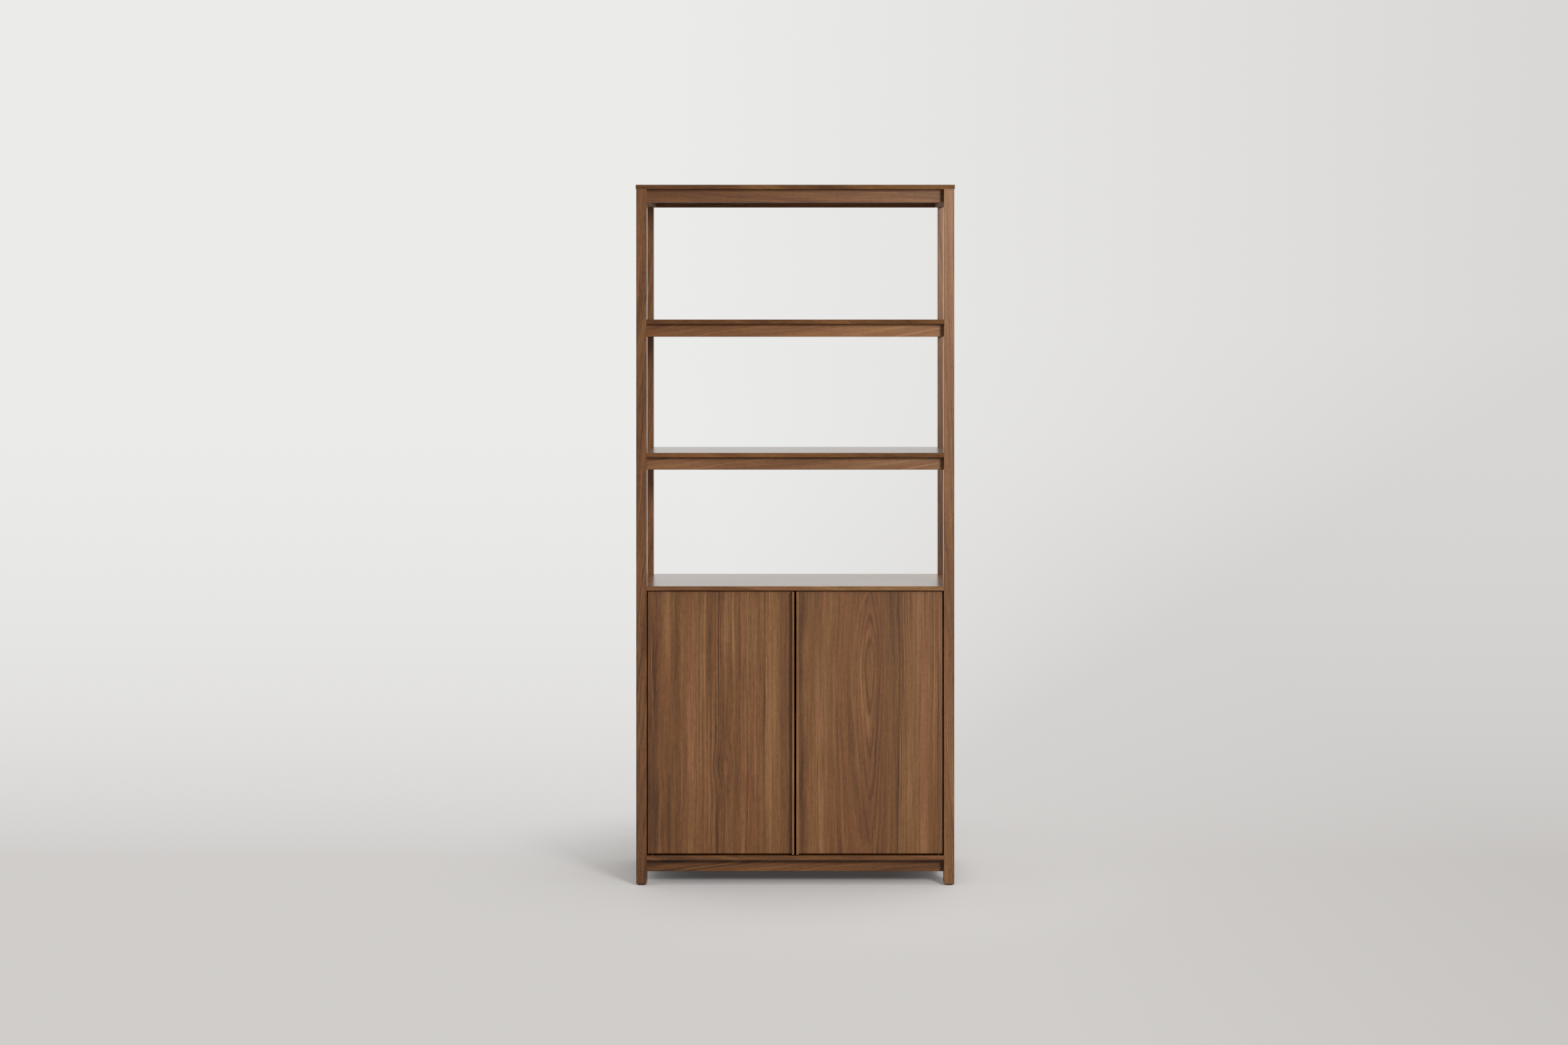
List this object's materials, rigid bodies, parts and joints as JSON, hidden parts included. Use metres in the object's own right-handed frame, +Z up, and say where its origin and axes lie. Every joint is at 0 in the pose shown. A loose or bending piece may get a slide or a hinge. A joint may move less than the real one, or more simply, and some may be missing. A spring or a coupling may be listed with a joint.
{
  "type": "bookcase",
  "caption": "Tall walnut bookcase with open bays above a base cabinet that closes with inset pivot-hinged doors and full-height pull strips.",
  "frame": {"origin": "on the floor, under the middle of the whole object's box", "axes": "+X to the right as seen from the front, +Y to the back, +Z up"},
  "size_m": [0.914, 0.3886, 2.007],
  "materials": {
    "walnut_posts": "satin lacquer on solid walnut",
    "walnut_rails": "satin lacquer on solid walnut",
    "walnut_shelves": "satin lacquer on walnut veneer",
    "walnut_cabinet": "satin lacquer on walnut veneer",
    "walnut_doors": "satin lacquer on walnut veneer",
    "walnut_pulls": "satin lacquer on solid walnut",
    "hinge_brass": "satin",
    "zinc_steel": "zinc plated",
    "magnet": "nickel plated",
    "nylon": "moulded nylon",
    "washer_nylon": "moulded nylon",
    "catch_plastic": "moulded"
  },
  "bodies": {
    "case": {"cabinet_back": "walnut_cabinet", "cabinet_floor": "walnut_shelves", "cabinet_side_left": "walnut_cabinet", "cabinet_side_right": "walnut_cabinet", "cabinet_top": "walnut_shelves", "catch_housing": "catch_plastic", "catch_magnets": "magnet", "foot_pad_front_left": "nylon", "foot_pad_front_right": "nylon", "foot_pad_rear_left": "nylon", "foot_pad_rear_right": "nylon", "front_rail_base": "walnut_rails", "front_rail_lower": "walnut_rails", "front_rail_top": "walnut_rails", "front_rail_upper": "walnut_rails", "hinge_washers": "washer_nylon", "inner_shelf": "walnut_cabinet", "left_lower_case_leaf": "hinge_brass", "left_side_rail_base": "walnut_rails", "left_side_rail_lower": "walnut_rails", "left_side_rail_top": "walnut_rails", "left_side_rail_upper": "walnut_rails", "left_upper_case_leaf": "hinge_brass", "lower_shelf": "walnut_shelves", "post_front_left": "walnut_posts", "post_front_right": "walnut_posts", "post_rear_left": "walnut_posts", "post_rear_right": "walnut_posts", "rear_rail_base": "walnut_rails", "rear_rail_lower": "walnut_rails", "rear_rail_top": "walnut_rails", "rear_rail_upper": "walnut_rails", "right_lower_case_leaf": "hinge_brass", "right_side_rail_base": "walnut_rails", "right_side_rail_lower": "walnut_rails", "right_side_rail_top": "walnut_rails", "right_side_rail_upper": "walnut_rails", "right_upper_case_leaf": "hinge_brass", "shelf_pins": "hinge_brass", "top_panel": "walnut_shelves", "upper_shelf": "walnut_shelves"},
    "left_door": {"left_door": "walnut_doors", "left_door_pull": "walnut_pulls", "left_strike_plate": "zinc_steel", "left_upper_door_leaf": "hinge_brass", "left_lower_door_leaf": "hinge_brass"},
    "right_door": {"right_door": "walnut_doors", "right_door_pull": "walnut_pulls", "right_strike_plate": "zinc_steel", "right_upper_door_leaf": "hinge_brass", "right_lower_door_leaf": "hinge_brass"}
  },
  "joints": [
    {"name": "left_door_hinge", "type": "hinge", "parent": "case", "child": "left_door", "pos_m": [-0.411, -0.16925, 0.46475], "axis": [0, 0, -1], "range_deg": [0, 105]},
    {"name": "right_door_hinge", "type": "hinge", "parent": "case", "child": "right_door", "pos_m": [0.411, -0.16925, 0.46475], "axis": [0, 0, 1], "range_deg": [0, 105]}
  ]
}
